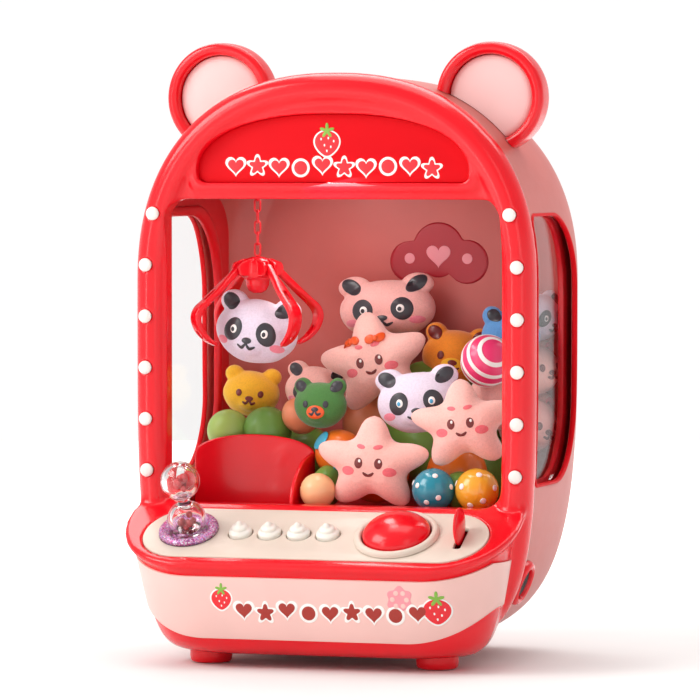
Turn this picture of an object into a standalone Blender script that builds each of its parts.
"""Toy claw crane machine: rounded cabin with bear ears, sloping console, gantry, claw and prizes.

All constants are in millimetres. +Z is up, the front faces -Y and +X is the viewer's right.
"""

import math

import bmesh
import bpy
from mathutils import Matrix, Vector

MM = 0.001
GAP = 0.3  # space left between two pieces that touch in the real toy

# Cabin outline in XZ: two half superellipses that meet at AXIS_Z.
AXIS_Z = 230.0
HALF_WIDTH = 127.0
RISE = 129.0
DROP = 223.0
OUTLINE_POINTS = 56

# Depths (Y) of the main mouldings.
FRAME_BACK = -30.0
FRAME_FACE = -39.5
SHELL_FRONT = -29.7
SHELL_BACK = 107.5
WALL = 3.0

# Front window, inside edges.
WINDOW_HALF = 107.0
WINDOW_LOW = 95.5
WINDOW_HIGH = 282.0

# Sloping control deck: centre of its top face and tilt about X.
DECK_CENTRE = (0.0, -76.0, 80.5)
DECK_TILT = math.radians(27.0)
DECK_LENGTH = 217.0
DECK_DEPTH = 56.0
DECK_THICK = 3.0

# Cabin interior.
FLOOR_Z = 91.0
SIDE_INNER = 112.0

# Claw at its home corner, over the prize chute.
CLAW_X = -63.0
CLAW_Y = 4.0
HUB_TOP = 245.0
FINGER_TURNS = (-40.0, 50.0, 140.0, 230.0)
PIVOT_R = 12.5
PIVOT_Z = -6.5
DRUM_BACK = 13.4  # winch axle behind the chain

RED = (0.78, 0.012, 0.02)
DARK_RED = (0.42, 0.004, 0.012)
PINK = (0.87, 0.42, 0.40)
PALE_PINK = (0.90, 0.62, 0.60)
CREAM = (0.86, 0.76, 0.66)
WHITE = (0.88, 0.85, 0.80)
BLACK = (0.02, 0.02, 0.022)
STEEL = (0.55, 0.56, 0.58)


# ---------------------------------------------------------------- mesh helpers


def make(name, points, faces):
    """A closed mesh object from points in millimetres, its faces turned outwards."""
    mesh = bpy.data.meshes.new(name)
    mesh.from_pydata([Vector(p) * MM for p in points], [], faces)
    shape = bmesh.new()
    shape.from_mesh(mesh)
    bmesh.ops.recalc_face_normals(shape, faces=shape.faces)
    shape.to_mesh(mesh)
    shape.free()
    obj = bpy.data.objects.new(name, mesh)
    bpy.context.scene.collection.objects.link(obj)
    return obj


def loft(name, rings, closed=False):
    """Skins rings of equal length, with flat caps, or round to the first ring again."""
    count = len(rings[0])
    points = [p for ring in rings for p in ring]
    faces = []
    for k in range(len(rings) if closed else len(rings) - 1):
        here, there = k * count, (k + 1) % len(rings) * count
        for i in range(count):
            j = (i + 1) % count
            faces.append((here + i, here + j, there + j, there + i))
    if not closed:
        faces.append(tuple(range(count)))
        faces.append(tuple(range((len(rings) - 1) * count, len(rings) * count)))
    return make(name, points, faces)


def revolve(name, profile, sides):
    """Turns (radius, height) points about Z. A radius of 0 at either end makes a pole."""
    points, faces, rows = [], [], []
    for radius, height in profile:
        if radius == 0:
            rows.append([len(points)])
            points.append((0, 0, height))
            continue
        rows.append(list(range(len(points), len(points) + sides)))
        for i in range(sides):
            turn = math.tau * i / sides
            points.append((radius * math.cos(turn), radius * math.sin(turn), height))
    for low, high in zip(rows, rows[1:]):
        for i in range(sides):
            j = (i + 1) % sides
            if len(low) == 1:
                faces.append((low[0], high[i], high[j]))
            elif len(high) == 1:
                faces.append((low[i], low[j], high[0]))
            else:
                faces.append((low[i], low[j], high[j], high[i]))
    for row in (rows[0], rows[-1]):
        if len(row) > 1:
            faces.append(tuple(row))
    return make(name, points, faces)


def washer(name, profile, sides):
    """Turns a closed (radius, height) outline about Z into a ring."""
    rings = []
    for i in range(sides):
        turn = math.tau * i / sides
        rings.append([(r * math.cos(turn), r * math.sin(turn), h) for r, h in profile])
    return loft(name, rings, closed=True)


def prism(name, outline, low, high, axis="Z"):
    """Extrudes a flat outline from low to high along an axis."""
    order = {
        "X": lambda a, b, c: (c, a, b),
        "Y": lambda a, b, c: (a, c, b),
        "Z": lambda a, b, c: (a, b, c),
    }[axis]
    return loft(name, [[order(a, b, c) for a, b in outline] for c in (low, high)])


def box(name, x0, x1, y0, y1, z0, z1):
    return prism(name, [(x0, y0), (x1, y0), (x1, y1), (x0, y1)], z0, z1)


def rounded(x0, x1, y0, y1, radius, steps=5):
    """Outline of a rectangle with round corners."""
    outline = []
    corners = ((x1, y1, 0), (x0, y1, 90), (x0, y0, 180), (x1, y0, 270))
    for x, y, start in corners:
        cx = x - radius if x == x1 else x + radius
        cy = y - radius if y == y1 else y + radius
        for k in range(steps + 1):
            turn = math.radians(start + 90 * k / steps)
            outline.append((cx + radius * math.cos(turn), cy + radius * math.sin(turn)))
    return outline


def ellipsoid(name, centre, size, sides=14, rows=8):
    """A ball of full size (x, y, z)."""
    profile = []
    for k in range(rows + 1):
        turn = math.pi * k / rows - math.pi / 2
        profile.append((math.cos(turn) if 0 < k < rows else 0, math.sin(turn)))
    obj = revolve(name, profile, sides)
    scale = Matrix.Diagonal((size[0] / 2, size[1] / 2, size[2] / 2, 1))
    obj.data.transform(Matrix.Translation(Vector(centre) * MM) @ scale)
    return obj


def move(obj, x=0.0, y=0.0, z=0.0):
    obj.data.transform(Matrix.Translation(Vector((x, y, z)) * MM))
    return obj


def turn(obj, degrees, axis, about=(0, 0, 0)):
    centre = Matrix.Translation(Vector(about) * MM)
    spin = Matrix.Rotation(math.radians(degrees), 4, axis)
    obj.data.transform(centre @ spin @ centre.inverted())
    return obj


def boolean(obj, tool, operation):
    modifier = obj.modifiers.new(operation, "BOOLEAN")
    modifier.operation = operation
    modifier.solver = "EXACT"
    modifier.object = tool
    graph = bpy.context.evaluated_depsgraph_get()
    mesh = bpy.data.meshes.new_from_object(obj.evaluated_get(graph))
    obj.modifiers.clear()
    obj.data = mesh
    bpy.data.objects.remove(tool)
    return obj


def cut(obj, *tools):
    for tool in tools:
        boolean(obj, tool, "DIFFERENCE")
    return obj


def join(obj, *tools):
    for tool in tools:
        boolean(obj, tool, "UNION")
    return obj


def keep(obj, tool):
    return boolean(obj, tool, "INTERSECT")


def finish(obj, name, colour, rough=0.35, smooth=40.0, alpha=1.0, metal=0.0):
    """Names a piece, gives it its own material and shades it."""
    obj.name = name
    obj.data.name = name
    material = bpy.data.materials.new(name)
    material.use_nodes = True
    shader = material.node_tree.nodes["Principled BSDF"]
    shader.inputs["Base Color"].default_value = (*colour, 1.0)
    shader.inputs["Roughness"].default_value = rough
    shader.inputs["Metallic"].default_value = metal
    shader.inputs["Alpha"].default_value = alpha
    obj.data.materials.clear()
    obj.data.materials.append(material)
    for polygon in obj.data.polygons:
        polygon.use_smooth = True
        polygon.material_index = 0
    obj.data.set_sharp_from_angle(angle=math.radians(smooth))
    return obj


# ---------------------------------------------------------------- shared shapes


def outline(y, inset=0.0, low_power=5.0, count=OUTLINE_POINTS, floor=None):
    """Ring of the cabin outline at depth y, pulled in by inset all round."""
    ring = []
    for i in range(count):
        angle = math.tau * (i + 0.5) / count
        c, s = math.cos(angle), math.sin(angle)
        power = 2.3 if s > 0 else low_power
        rise = RISE if s > 0 else DROP
        # The lower half has its points spread by arc, so that the tight corners stay round.
        if s < 0:
            reach = (abs(c) ** power + abs(s) ** power) ** (-1 / power)
            x, z = c * reach, s * reach
        else:
            x = math.copysign(abs(c) ** (2 / power), c)
            z = abs(s) ** (2 / power)
        x = x * (HALF_WIDTH - inset)
        z = AXIS_Z + z * (rise - inset)
        if floor is not None:
            z = max(z, floor)
        ring.append((x, y, z))
    return ring


def on_deck(obj, u=0.0, v=0.0, w=0.0):
    """Puts a shape made about the origin onto the sloping deck, w above its top face."""
    tilt = Matrix.Rotation(DECK_TILT, 4, "X")
    place = Matrix.Translation(Vector(DECK_CENTRE) * MM)
    obj.data.transform(place @ tilt @ Matrix.Translation(Vector((u, v, w)) * MM))
    return obj


def at_claw(obj):
    return move(obj, CLAW_X, CLAW_Y, HUB_TOP)


def console_ring(half, front, low, tilt, corner, grow=0.0, back=-34.0):
    """One tilted slice through the console: square at the back, round at the front corners."""
    half, front, corner = half + grow, front - grow, corner + grow
    plan = [(half - 3.0, back), (half, back - 20.0)]
    for k in range(9):
        angle = math.radians(90 * k / 8)
        x = half - corner + corner * math.cos(angle)
        y = front + corner - corner * math.sin(angle)
        plan.append((x, min(y, back - 22.0)))
    plan = plan + [(-x, y) for x, y in reversed(plan)]
    slope = math.tan(math.radians(tilt))
    return [(x, y, low + slope * (y - front)) for x, y in plan]


def cabin_solid(name, inset):
    """The rounded cabin behind the frame as a solid, pulled in by inset on every side."""
    stations = (
        (SHELL_FRONT, 2.0, 4.6),
        (5.0, 2.0, 4.5),
        (42.0, 2.5, 4.3),
        (70.0, 4.0, 4.1),
        (88.0, 7.4, 3.9),
        (99.0, 14.0, 3.8),
        (SHELL_BACK, 28.0, 3.7),
    )
    front, back = (0.0, 0.0) if inset == 0 else (6.0, inset)
    rings = []
    for k, (y, pull, power) in enumerate(stations):
        if k == 0:
            y -= front
        y -= back * (k / (len(stations) - 1)) ** 3
        rings.append(outline(y, pull + inset, power))
    return loft(name, rings)


def side_window(grow=0.0):
    """Outline (Y, Z) of the D-shaped side window: square at the front, bowed at the back."""
    y0, y1, z0, z1 = -25.0 - grow, 72.0 + grow, 109.0 - grow, 272.0 + grow
    small, wide, high = 8.0, 46.0, 50.0
    centres = (
        (y1 - wide, z0 + high, wide, high, 270),
        (y1 - wide, z1 - high, wide, high, 0),
        (y0 + small, z1 - small, small, small, 90),
        (y0 + small, z0 + small, small, small, 180),
    )
    points = []
    for cy, cz, ry, rz, start in centres:
        steps = 7 if ry > small else 3
        for k in range(steps + 1):
            angle = math.radians(start + 90 * k / steps)
            points.append((cy + ry * math.cos(angle), cz + rz * math.sin(angle)))
    return points


def half_moon(grow=0.0):
    """Outline (X, Z) of the recess in the header: flat below, arched above."""
    half, low, rise = 87.0 + grow, 292.0 - grow, 42.0 + 2 * grow
    points = [(-half + 5, low), (half - 5, low), (half - 1, low + 2)]
    for k in range(1, 18):
        angle = math.pi * k / 18
        c, s = math.cos(angle), math.sin(angle)
        x = math.copysign(abs(c) ** 0.87, c) * half
        points.append((x, low + 5 + (rise - 5) * s**0.87))
    return points + [(-half + 1, low + 2)]


# ---------------------------------------------------------------- cabin mouldings

SPEAKER_Y, SPEAKER_Z = -15.2, 50.0
OUTLET = (-22.0, 22.0, 36.0, 80.0, 8.0)  # prize outlet (Y, Z) low in the left side
REAR_FOOT_X, REAR_FOOT_Y = 51.0, 50.0


def build_rear_shell():
    shell = cabin_solid("shell", 0.0)
    for side in (-1, 1):
        foot = revolve("foot", [(8.4, 0.0), (9.6, 1.2), (10.0, 17.0)], 18)
        join(shell, move(foot, side * REAR_FOOT_X, REAR_FOOT_Y, 0.0))
    cut(shell, cabin_solid("hollow", WALL))
    for side in (-1, 1):
        low, high = sorted((side * 95.0, side * 140.0))
        cut(shell, prism("opening", side_window(), low, high, "X"))
    cut(shell, prism("outlet", rounded(*OUTLET, 3), -140.0, -80.0, "X"))
    speaker = turn(revolve("speaker", [(8.0, 80.0), (8.0, 140.0)], 16), 90, "Y")
    cut(shell, move(speaker, 0, SPEAKER_Y, SPEAKER_Z))
    cut(shell, prism("access", rounded(-38, 38, 8, 74, 8, 3), -5.0, 30.0))
    finish(shell, "rear_shell", PINK, 0.35)


def build_front_frame():
    steps = (
        (FRAME_BACK, 0.0),
        (-36.5, 0.0),
        (-42.0, 1.4),
        (-46.2, 5.0),
        (-47.6, 10.0),
        (-45.8, 15.5),
        (FRAME_FACE, 19.5),
    )
    frame = loft("frame", [outline(y, inset) for y, inset in steps])
    lip = prism("lip", half_moon(5.0), -43.0, FRAME_FACE + 2, "Y")
    join(frame, lip, console_solid("console", 0.0))
    cut(frame, console_hollow(), deck_plate("seat", GAP, 3.0, GAP))
    window = rounded(-WINDOW_HALF, WINDOW_HALF, WINDOW_LOW, WINDOW_HIGH, 13.0, 5)
    cut(frame, prism("window", window, -60.0, -20.0, "Y"))
    cut(frame, prism("recess", half_moon(), -60.0, FRAME_FACE + 3.2, "Y"))
    cut(frame, box("wires", -60, 60, -50, -20, 22, 60))
    for side in (-1, 1):
        for x, z in dot_places(side):
            hole = revolve("hole", [(3.7, -60.0), (3.7, -20.0)], 8)
            cut(frame, move(turn(hole, -90, "X"), x, 0, z))
        foot = revolve("foot", [(11.0, 0.0), (12.5, 1.5), (13.0, 14.0)], 20)
        join(frame, move(foot, side * 72.0, -58.0, 0.0))
    finish(frame, "front_frame", RED, 0.18)


CONSOLE_RINGS = (
    (86.0, -77.0, 6.8, 0.0, 34.0),
    (95.5, -87.0, 9.5, 0.0, 38.0),
    (103.0, -94.0, 15.5, 2.0, 42.0),
    (109.0, -98.5, 27.0, 7.0, 45.0),
    (113.5, -101.5, 42.0, 15.0, 46.0),
    (117.3, -103.0, 55.5, 22.5, 46.0),
    (120.8, -104.3, 58.6, 26.0, 47.0),
    (124.0, -106.4, 60.3, 27.0, 48.0),
    (125.0, -107.5, 62.6, 27.0, 48.0),
    (124.2, -106.6, 64.6, 27.0, 47.0),
    (121.0, -103.6, 65.9, 27.0, 45.0),
)


def console_solid(name, grow):
    rings = [console_ring(*ring, grow=grow) for ring in CONSOLE_RINGS]
    return loft(name, rings)


def console_hollow():
    """Space inside the console, open at the top under the deck plate."""
    rings = []
    for half, front, low, tilt, corner in CONSOLE_RINGS[1:7]:
        rings.append(console_ring(half, front, low + 2.6, tilt, corner, -3.2, -44.5))
    hollow = loft("hollow", rings)
    shaft = prism("shaft", rounded(-103.5, 103.5, -23.0, 23.0, 22.0, 5), -16.0, 6.0)
    return join(hollow, on_deck(shaft))


def deck_plate(name, grow=0.0, deep=DECK_THICK, above=0.0):
    half, depth = DECK_LENGTH / 2 + grow, DECK_DEPTH / 2 + grow
    edge = rounded(-half, half, -depth, depth, depth - 0.5, 8)
    return on_deck(prism(name, edge, -deep - grow, above * 20))


def dot_places(side):
    """Centres (X, Z) of the six white dots down one side of the frame."""
    places = []
    for k in range(6):
        z = 115.5 + 31.5 * k
        rise = abs(z - AXIS_Z) / ((RISE if z > AXIS_Z else DROP) - 8.5)
        power = 2.3 if z > AXIS_Z else 5.0
        places.append((side * (HALF_WIDTH - 8.5) * (1 - rise**power) ** (1 / power), z))
    return places


def build_light_strips():
    for side, name in ((-1, "left_light_strip"), (1, "right_light_strip")):
        places = dot_places(side)
        inner = [(x - side * 4.0, z) for x, z in places]
        outer = [(x - side * 0.5, z) for x, z in places]
        ends = ((0, -5.0), (-1, 5.0))
        for k, shift in ends:
            inner[k] = (inner[k][0], inner[k][1] + shift)
            outer[k] = (outer[k][0], outer[k][1] + shift)
        strip = prism("strip", inner + outer[::-1], -29.6, -27.6, "Y")
        for x, z in places:
            profile = [(0.9, 28.2), (0.9, 30.3), (3.3, 30.3), (3.3, 48.4), (0, 49.8)]
            stud = revolve("stud", profile, 8)
            join(strip, move(turn(stud, 90, "X"), x, 0, z))
        finish(strip, name, WHITE, 0.4)


def build_header():
    panel = prism("panel", half_moon(-GAP), -38.6, FRAME_FACE + 2.9, "Y")
    finish(panel, "header_panel", DARK_RED, 0.3)


def build_ears():
    for side, name in ((-1, "left"), (1, "right")):
        profile = [(26.5, 0.0), (26.5, 7.5), (29.0, 9.5), (32.0, 9.5), (34.0, 7.0)]
        profile += [(34.0, -7.5), (32.0, -9.0), (24.0, -9.0), (24.0, 0.0)]
        ring = washer("ring", profile, 24)
        face = revolve("face", [(26.2, 0.4), (26.2, 3.2), (24.0, 4.4), (0, 4.9)], 22)
        for piece, label, colour in ((ring, "ear_ring", RED), (face, "ear_face", PALE_PINK)):
            move(turn(piece, 90, "X"), side * 87.0, 9.0, 344.0)
            cut(piece, cabin_solid("cabin", -GAP))
            finish(piece, f"{name}_{label}", colour, 0.25)


def build_fascia():
    band = loft("band", [console_ring(*r, grow=1.6) for r in CONSOLE_RINGS[1:6]])
    cut(band, loft("core", [console_ring(*r, grow=GAP) for r in CONSOLE_RINGS[:7]]))
    edge = []
    for k in range(9):
        angle = math.radians(90 * k / 8)
        edge.append((64.0 + 57.0 * math.sin(angle), 66.0 - 48.0 * math.cos(angle)))
    shape = [(-x, z) for x, z in edge[::-1]] + edge
    keep(band, prism("shape", shape, -120.0, -50.0, "Y"))
    finish(band, "front_fascia", PALE_PINK, 0.35)


def build_deck():
    deck = deck_plate("deck")
    for u, radius, sides in CONTROL_HOLES:
        cut(deck, on_deck(revolve("hole", [(radius, -9.0), (radius, 9.0)], sides), u))
    slot = rounded(-2.1, 2.1, -11.8, 11.8, 1.5, 1)
    cut(deck, on_deck(prism("slot", slot, -9.0, 9.0), COIN_U))
    collar = washer("collar", [(11.8, -9.0), (14.0, -9.0), (14.0, -2.0), (11.8, -2.0)], 16)
    join(deck, on_deck(collar, JOYSTICK_U))
    pins = turn(revolve("pins", [(1.6, -16.0), (1.6, 16.0)], 8), 90, "Y")
    cut(deck, on_deck(pins, JOYSTICK_U, 0, GIMBAL_W))
    finish(deck, "control_deck", CREAM, 0.4)


# ---------------------------------------------------------------- controls

JOYSTICK_U = -80.0
GIMBAL_W = -5.0
BUTTON_U = (-47.0, -28.5, -10.0, 8.5)
DROP_U = 52.0
COIN_U = 92.0
CONTROL_HOLES = [(JOYSTICK_U, 11.4, 16), (DROP_U, 21.3, 28)]
CONTROL_HOLES += [(u, 7.6, 14) for u in BUTTON_U]


def build_controls():
    skirt = washer("skirt", [(14.7, 0.3), (18.2, 0.3), (18.2, 3.2), (17.2, 4.2), (14.7, 4.2)], 18)
    finish(on_deck(skirt, JOYSTICK_U), "joystick_skirt", (0.72, 0.30, 0.62), 0.15)

    gimbal = washer("gimbal", [(5.6, -2.1), (9.0, -2.1), (9.0, 2.1), (5.6, 2.1)], 14)
    join(gimbal, turn(revolve("pin", [(1.2, 7.5), (1.2, 13.2)], 8), 90, "Y"))
    join(gimbal, turn(revolve("pin", [(1.2, 7.5), (1.2, 13.2)], 8), -90, "Y"))
    cut(gimbal, turn(revolve("bore", [(1.4, -12.0), (1.4, 12.0)], 8), 90, "X"))
    finish(on_deck(gimbal, JOYSTICK_U, 0, GIMBAL_W), "joystick_gimbal", STEEL, 0.4, metal=1.0)

    knob = revolve("knob", joystick_profile(), 13)
    join(knob, turn(revolve("pin", [(1.1, -8.4), (1.1, 8.4)], 8), 90, "X"))
    finish(on_deck(knob, JOYSTICK_U, 0, GIMBAL_W), "joystick_knob", (0.9, 0.86, 0.86), 0.05)

    swirl = [(4.6, -9.0), (4.6, -4.0), (7.2, -4.0), (7.2, 1.0), (6.5, 2.6), (5.0, 3.6)]
    swirl += [(4.3, 5.0), (2.8, 6.6), (0, 8.2)]
    for k, u in enumerate(BUTTON_U):
        button = on_deck(revolve("button", swirl, 10), u)
        finish(button, f"button_{k + 1}", WHITE, 0.35)

    bezel = [(21.6, GAP), (25.6, GAP), (25.6, 1.8), (24.2, 3.4), (22.6, 3.4), (21.6, 2.2)]
    finish(on_deck(washer("bezel", bezel, 24), DROP_U), "button_bezel", CREAM, 0.35)

    dome = [(8.0, -13.0), (8.0, -5.0), (20.6, -5.0), (20.6, 3.0), (19.4, 5.6), (16.4, 8.4)]
    dome += [(11.5, 10.8), (6.0, 12.1), (0, 12.5)]
    finish(on_deck(revolve("dome", dome, 22), DROP_U), "drop_button", RED, 0.12)

    coin = revolve("coin", [(10.2, -1.7), (11.3, -1.0), (11.3, 1.0), (10.2, 1.7)], 18)
    finish(on_deck(turn(coin, 90, "Y"), COIN_U, 0, 8.0), "coin", RED, 0.25)


def joystick_profile():
    """Clear handle: stem, lower ball cut flat, waist and upper ball, from the pivot up."""
    low, high, radius = 8.5 - GIMBAL_W, 35.5 - GIMBAL_W, 12.0
    profile = [(3.0, -10.0), (3.0, 8.6)]
    for k in range(6):
        angle = math.radians(-64 + 128 * k / 5)
        profile.append((radius * math.cos(angle), low + radius * math.sin(angle)))
    profile[2] = (profile[2][0], 8.6)
    profile += [(4.0, low + 11.6), (4.0, high - 11.6)]
    for k in range(7):
        angle = math.radians(-64 + 154 * k / 6)
        profile.append((radius * math.cos(angle), high + radius * math.sin(angle)))
    profile[-1] = (0, high + radius)
    return profile


def build_speaker():
    bezel = [(9.2, 0.0), (9.2, 4.4), (11.0, 5.6), (13.2, 5.0), (14.4, 3.2), (14.4, -7.0)]
    bezel += [(9.2, -7.0)]
    ring = washer("ring", bezel, 22)
    grille = revolve("grille", [(8.9, 0.2), (8.9, 2.8), (7.0, 3.6), (0, 4.0)], 18)
    for piece, name, colour in (
        (ring, "speaker_bezel", RED),
        (grille, "speaker_grille", BLACK),
    ):
        move(turn(piece, 111, "Y"), 110.5, SPEAKER_Y, SPEAKER_Z)
        cut(piece, cabin_solid("cabin", -GAP))
        finish(piece, name, colour, 0.4)


# ---------------------------------------------------------------- cabin interior


def build_interior():
    for side, name in ((-1, "left"), (1, "right")):
        low, high = sorted((side * SIDE_INNER, side * (SIDE_INNER + 2.7)))
        panel = box("panel", low, high, -27.3, 90.0, 84.0, 290.0)
        keep(panel, cabin_solid("inside", WALL + GAP))
        low, high = sorted((side * (SIDE_INNER - 1.6), side * (SIDE_INNER + 1)))
        join(panel, prism("ridge", side_window(5.0), low, high, "X"))
        cut(panel, prism("opening", side_window(-1.5), -140, 140, "X"))
        cut(panel, box("front", -140, 140, -60, -27.3, 0, 400))
        finish(panel, f"{name}_side_panel", RED, 0.3)

        low, high = sorted((side * (SIDE_INNER + 3.0), side * (SIDE_INNER + 4.2)))
        pane = prism("pane", side_window(1.5), low, high, "X")
        keep(pane, cabin_solid("inside", WALL + GAP))
        finish(pane, f"{name}_window_pane", (0.8, 0.85, 0.86), 0.05, alpha=0.3)

        low, high = sorted((side * 88.0, side * 97.0))
        rail = box("rail", low, high, -26.0, 82.0, 296.0, 299.0)
        low, high = sorted((side * 94.8, side * 97.0))
        join(rail, box("web", low, high, -26.0, 82.0, 290.0, 298.0))
        finish(rail, f"{name}_rail", STEEL, 0.4, metal=1.0)

    floor = box("floor", -111.6, 111.6, -29.6, 104.0, FLOOR_Z - 3, FLOOR_Z)
    keep(floor, cabin_solid("inside", WALL + GAP))
    cut(floor, box("drop", -100.0, -34.0, -20.0, 12.0, 80.0, 100.0))
    finish(floor, "cabin_floor", PINK, 0.4)
    build_chute()

    board = box("board", -45, 45, 20, 62, 40.0, 41.6)
    join(board, box("chip", -15, 5, 30, 45, 41.0, 44.0), box("cap", 20, 30, 34, 44, 41.0, 52.0))
    finish(board, "circuit_board", (0.02, 0.20, 0.07), 0.5)

    base = prism("base", rounded(-37.5, 37.5, 8.5, 73.5, 7.5, 3), 9.4, 11.8)
    battery = rounded(-30.0, 30.0, 20.0, 62.0, 4.0, 2)
    cut(base, prism("bay", battery, 0.0, 20.0))
    box_walls = prism("walls", rounded(-34, 34, 16, 66, 5, 2), 11.0, 32.0)
    cut(box_walls, prism("bay", battery, 0.0, 29.0))
    join(base, box_walls)
    finish(base, "base_cover", PINK, 0.5)
    lid = prism("lid", rounded(-29.6, 29.6, 20.4, 61.6, 3.6, 2), 9.4, 11.6)
    finish(lid, "battery_cover", PINK, 0.5)


def build_chute():
    """Back wall with an arched top, right-hand divider with a hollow curved top, and ramp."""
    left, right, front, rear = -107.5, -29.0, -29.6, 15.0
    arch = [(left, FLOOR_Z + GAP), (right, FLOOR_Z + GAP), (right, 123.0)]
    for k in range(1, 10):
        angle = math.pi * k / 10
        x = (left + right) / 2 + (right - left) / 2 * math.cos(angle)
        arch.append((x, 123.0 + 12.0 * math.sin(angle)))
    arch.append((left, 123.0))
    chute = prism("back", arch, rear - 2.5, rear, "Y")
    side = [(front, FLOOR_Z + GAP), (rear, FLOOR_Z + GAP), (rear, 124.0)]
    for k in range(1, 8):
        angle = math.radians(90 * k / 8)
        side.append((rear - (rear - front) * math.sin(angle), 98.0 + 26.0 * math.cos(angle) ** 1.3))
    side.append((front, 98.0))
    join(chute, prism("side", side, right - 2.5, right, "X"))
    finish(chute, "prize_chute", RED, 0.22)


def build_outlet_flap():
    """Door over the prize outlet, curved like the side it closes and hinged at its top edge."""
    y0, y1, z0, z1, radius = OUTLET
    edge = rounded(y0 + 0.7, y1 - 0.7, z0 + 0.7, z1 - 0.7, radius - 0.7, 3)
    flap = prism("flap", edge, -140.0, -80.0, "X")
    keep(flap, cabin_solid("outside", 0.2))
    cut(flap, cabin_solid("inside", WALL - 0.6))
    finish(flap, "outlet_flap", PALE_PINK, 0.35)


def build_ramp():
    """Slide under the floor that carries a dropped prize to the outlet."""
    high, low = (-32.5, 86.0), (-98.0, 46.0)
    slide = [high, (high[0], high[1] - 2.2), (low[0], low[1] - 2.2), low]
    ramp = prism("ramp", slide, -19.5, 11.5, "Y")
    wall = [high, (high[0], high[1] - 2.2), (low[0], low[1] - 2.2), (low[0], low[1] + 12.0)]
    wall += [(-74.0, 86.0)]
    for y in (-19.5, 10.0):
        join(ramp, prism("wall", wall, y, y + 1.5, "Y"))
    finish(ramp, "prize_ramp", RED, 0.3)


# ---------------------------------------------------------------- gantry and claw


def build_gantry():
    bridge = box("bridge", -97.0, 97.0, CLAW_Y - 15, CLAW_Y + 22, 299.4, 303.0)
    cut(bridge, box("slot", -76.0, 76.0, CLAW_Y - 8.0, CLAW_Y + 8.0, 290, 310))
    for y in (CLAW_Y - 15.0, CLAW_Y + 19.4):
        join(bridge, box("rim", -86.0, 86.0, y, y + 2.6, 301.0, 307.0))
    finish(bridge, "gantry_bridge", STEEL, 0.4, metal=1.0)

    trolley = box("plate", -14.5, 14.5, -12.0, 18.6, 303.4, 306.4)
    for x in (-14.5, 12.3):
        join(trolley, box("cheek", x, x + 2.2, 8.6, 18.2, 305.0, 326.0))
    join(trolley, revolve("nozzle", [(7.2, 289.0), (7.2, 305.0)], 16))
    cut(trolley, revolve("bore", [(4.9, 280.0), (4.9, 320.0)], 16))
    axle = turn(revolve("axle", [(2.5, -20.0), (2.5, 20.0)], 8), 90, "Y")
    cut(trolley, move(axle, 0, DRUM_BACK, 319.0))
    finish(move(trolley, CLAW_X, CLAW_Y), "trolley", BLACK, 0.4)

    drum = [(1.8, -15.0), (1.8, -10.4), (8.4, -10.4), (8.4, -8.8), (7.0, -8.4)]
    drum += [(r, -h) for r, h in drum[::-1]]
    spool = move(turn(revolve("drum", drum, 14), 90, "Y"), 0, DRUM_BACK, 319.0)
    finish(move(spool, CLAW_X, CLAW_Y), "winch_drum", CREAM, 0.4)

    tube = washer("tube", [(3.4, 283.0), (4.5, 283.0), (4.5, 306.0), (3.4, 306.0)], 14)
    finish(move(tube, CLAW_X, CLAW_Y), "guide_tube", STEEL, 0.3, metal=1.0)

    chain = None
    for k in range(8):
        low = 1.2 + 6.8 * k
        link = prism("link", rounded(-2.0, 2.0, low, low + 8.4, 1.8, 2), -0.7, 0.7, "Y")
        turn(link, 90 * (k % 2), "Z")
        chain = join(chain, link) if chain else link
    finish(at_claw(chain), "chain", RED, 0.3)


def build_claw():
    hub = revolve("hub", [(15.5, -10.5), (16.0, -9.0), (16.0, -3.4), (11.0, -1.0), (3.0, 0.9)], 16)
    lower = revolve("lower", [(0, -22.0), (4.5, -21.0), (7.5, -17.5), (8.2, -9.5)], 10)
    join(hub, lower)
    for degrees in FINGER_TURNS[:2]:
        slot = box("slot", 9.2, 20, -2.5, 2.5, -30, 5)
        join(slot, box("slot", -20, -9.2, -2.5, 2.5, -30, 5))
        bore = turn(revolve("bore", [(1.4, -5.4), (1.4, 5.4)], 8), 90, "X")
        other = move(turn(revolve("bore", [(1.4, -5.4), (1.4, 5.4)], 8), 90, "X"), -PIVOT_R, 0, PIVOT_Z)
        cut(hub, turn(slot, degrees, "Z"))
        cut(hub, turn(move(bore, PIVOT_R, 0, PIVOT_Z), degrees, "Z"))
        cut(hub, turn(other, degrees, "Z"))
    finish(at_claw(hub), "claw_hub", RED, 0.2)

    path = (
        (12.0, -5.2, 4.2, 5.0),
        (15.5, -8.2, 4.2, 5.0),
        (21.0, -13.0, 5.0, 4.6),
        (29.0, -20.0, 7.6, 4.2),
        (37.0, -26.6, 8.2, 4.2),
        (42.4, -31.5, 8.2, 5.2),
        (44.4, -37.0, 8.2, 5.0),
        (42.0, -44.0, 7.8, 4.0),
        (36.5, -49.6, 6.6, 3.4),
        (30.0, -53.2, 4.4, 2.2),
    )
    for k, degrees in enumerate(FINGER_TURNS):
        finger = sweep("finger", path)
        pin = turn(revolve("pin", [(1.0, -4.8), (1.0, 4.8)], 8), 90, "X")
        join(finger, move(pin, PIVOT_R, 0, PIVOT_Z))
        finish(at_claw(turn(finger, degrees, "Z")), f"finger_{k + 1}", RED, 0.2)


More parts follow.
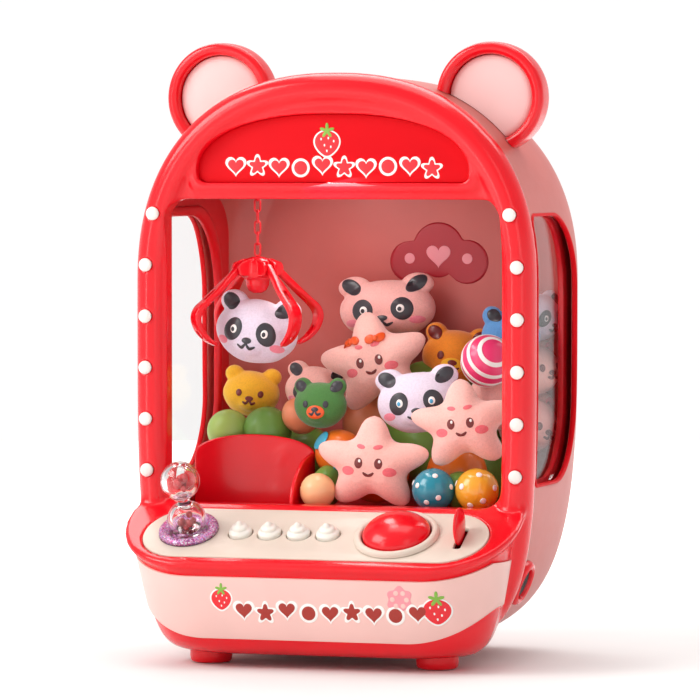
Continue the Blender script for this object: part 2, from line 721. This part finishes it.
def sweep(name, path):
    """Bar along (radius, height) points with its own width and thickness at each."""
    rings = []
    for k, (r, z, width, thick) in enumerate(path):
        ahead, behind = path[min(k + 1, len(path) - 1)], path[max(k - 1, 0)]
        along = Vector((ahead[0] - behind[0], ahead[1] - behind[1])).normalized()
        across = Vector((-along.y, along.x)) * thick / 2
        ring = []
        for a, b in ((-1, -0.6), (-0.6, -1), (0.6, -1), (1, -0.6), (1, 0.6), (0.6, 1), (-0.6, 1), (-1, 0.6)):
            ring.append((r + across.x * b, a * width / 2, z + across.y * b))
        rings.append(ring)
    return loft(name, rings)


# ---------------------------------------------------------------- prizes


def bear_head(centre, size, tilt=0.0, lean=0.0, sides=11, rows=6):
    """Flattened ball with two round ears, turned by tilt in the plane it faces."""
    w, d, h = size
    head = ellipsoid("head", (0, 0, 0), (w, d, h * 0.9), sides, rows)
    for side in (-1, 1):
        ear = ellipsoid("ear", (side * w * 0.34, 0, h * 0.38), (w * 0.3, d * 0.4, h * 0.3), 7, 4)
        join(head, ear)
    turn(head, lean, "Z")
    turn(head, tilt, "Y")
    return move(head, *centre)


def star(centre, size, tilt=0.0, lean=0.0):
    """Puffy five-pointed star, thick in the middle and rounded at its tips."""
    w, d, h = size
    rings = []
    for scale, y in ((0.50, -0.5), (0.80, -0.36), (0.97, -0.14), (0.97, 0.14), (0.80, 0.36), (0.5, 0.5)):
        ring = []
        for i in range(15):
            angle = math.tau * i / 15 + math.pi / 2
            point = 0.5 + 0.5 * math.cos(5 * (angle - math.pi / 2))
            reach = (0.31 + 0.20 * point) * scale + 0.02
            ring.append((reach * math.cos(angle) * w * 1.04, y * d, reach * math.sin(angle) * h * 1.08))
        rings.append(ring)
    obj = loft("star", rings)
    turn(obj, lean, "Z")
    turn(obj, tilt, "Y")
    return move(obj, *centre)


def ball(centre, radius, sides=10, rows=6):
    return ellipsoid("ball", centre, (2 * radius,) * 3, sides, rows)


def cluster(*pieces):
    return join(pieces[0], *pieces[1:])


PLUSH_PINK = (0.86, 0.42, 0.40)
LAVENDER = (0.72, 0.68, 0.86)


def build_prizes():
    prizes = {
        "held_panda": (bear_head((CLAW_X, CLAW_Y - 1, 199.5), (52, 38, 44), 10), LAVENDER),
        "front_star": (star((17, -12, 119.5), (68, 27, 55), 2, 4), PLUSH_PINK),
        "right_star": (star((74, -8, 144.5), (63, 26, 52), -6, 6), PLUSH_PINK),
        "upper_star": (star((-1, 51, 179), (68, 26, 60), -12, 0), PLUSH_PINK),
        "middle_panda": (bear_head((39, 13, 156.5), (53, 24, 42), -6, 6), LAVENDER),
        "top_panda": (bear_head((-3, 83, 211), (62, 34, 42), -4, 0), PALE_PINK),
        "orange_bear": (bear_head((44, 75, 182), (42, 30, 38), 8, 0), (0.82, 0.22, 0.02)),
        "dark_green_bear": (bear_head((-24, 10, 154), (34, 22, 32), 0, 0), (0.05, 0.22, 0.09)),
        "pink_panda": (bear_head((-44, 64, 160), (40, 30, 34), 0, 0), PALE_PINK),
        "yellow_bear": (bear_head((-86, 60, 158), (36, 30, 32), 0, 0), (0.85, 0.55, 0.06)),
        "left_balls": (
            cluster(
                ball((-91, 30, 136), 13.5),
                ball((-66, 31.5, 136), 15.5),
                ellipsoid("egg", (-44, 31, 146), (22, 22, 28), 9, 6),
                ball((-78, 62, 117), 25.0),
                ball((-51, 62, 116), 22.0),
            ),
            (0.33, 0.52, 0.10),
        ),
        "front_balls": (
            cluster(
                ball((-17, -17, 102.6), 11.0),
                ball((-13, 14, 124), 15.0),
                ellipsoid("filler", (-17, 3, 104.6), (20, 32, 26), 9, 6),
                ball((8, 24, 114), 21.0),
            ),
            (0.85, 0.36, 0.10),
        ),
        "right_balls": (
            cluster(
                ball((57, -16, 104.8), 13.2),
                ball((84, -14, 105.0), 13.4),
                ball((70, -2, 103.6), 12.0),
                ball((60, 24, 112), 19.0),
            ),
            (0.02, 0.35, 0.42),
        ),
        "back_pile": (
            cluster(
                ellipsoid("heap", (40, 72, 128), (112, 58, 73), 12, 6),
                ball((-9, 80, 140), 22.0),
                ellipsoid("bear", (-16, 84, 172), (34, 30, 34), 10, 6),
                ellipsoid("heap", (80, 52, 158), (40, 46, 50), 9, 6),
                ball((78, 28, 182), 16.5),
                ball((84, 60, 196), 17.5),
            ),
            (0.12, 0.33, 0.55),
        ),
    }
    for name, (piece, colour) in prizes.items():
        finish(piece, name, colour, 0.6, smooth=60.0)


def main():
    for obj in list(bpy.data.objects):
        bpy.data.objects.remove(obj)
    build_rear_shell()
    build_front_frame()
    build_light_strips()
    build_header()
    build_ears()
    build_fascia()
    build_deck()
    build_controls()
    build_speaker()
    build_interior()
    build_ramp()
    build_outlet_flap()
    build_gantry()
    build_claw()
    build_prizes()


main()
